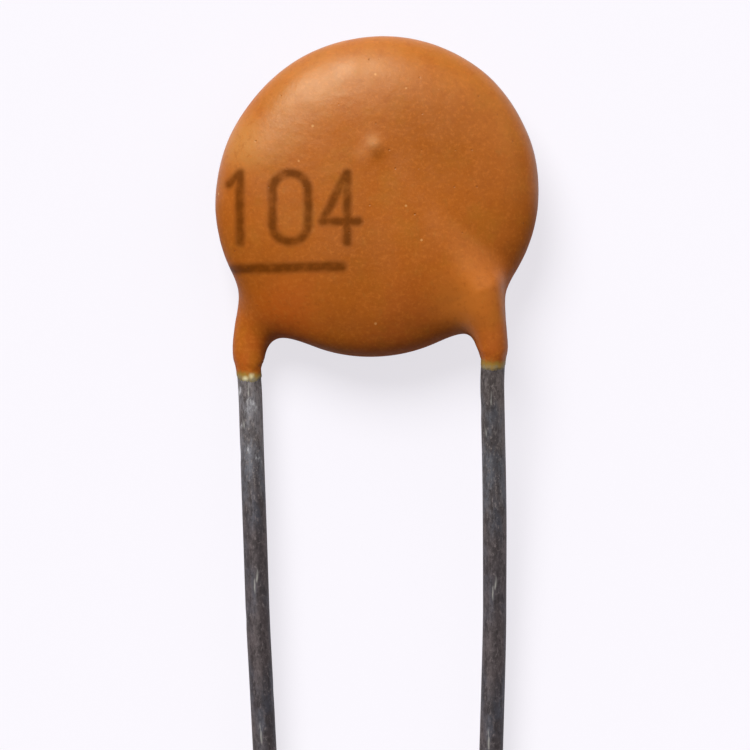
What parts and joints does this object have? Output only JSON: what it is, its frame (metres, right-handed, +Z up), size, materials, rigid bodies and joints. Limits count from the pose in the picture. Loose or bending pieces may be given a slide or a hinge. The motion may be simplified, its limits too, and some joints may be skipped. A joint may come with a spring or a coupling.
{
  "type": "ceramic disc capacitor",
  "caption": "Small dipped ceramic disc capacitor: a round resin-coated disc with resin running down onto long straight wire leads.",
  "frame": {"origin": "middle of the bounding box, on the surface that the part lies on", "axes": "+Z up out of the marked face, +Y from the lead ends towards the disc, +X to the right when looking down on the marked face with the leads towards you"},
  "size_m": [0.0068, 0.0268, 0.0022],
  "materials": {
    "coating": "dipped phenolic resin, waxed to a satin sheen",
    "ceramic": "fired, unglazed",
    "electrode": "fired silver, matt",
    "solder": "solder, softly shining",
    "lead": "tinned wire, dulled dark grey with worn brighter streaks"
  },
  "bodies": {
    "root": {"coating": "coating", "ceramic_disc": "ceramic", "front_electrode": "electrode", "rear_electrode": "electrode", "front_solder": "solder", "rear_solder": "solder", "front_lead": "lead", "rear_lead": "lead"}
  },
  "joints": []
}
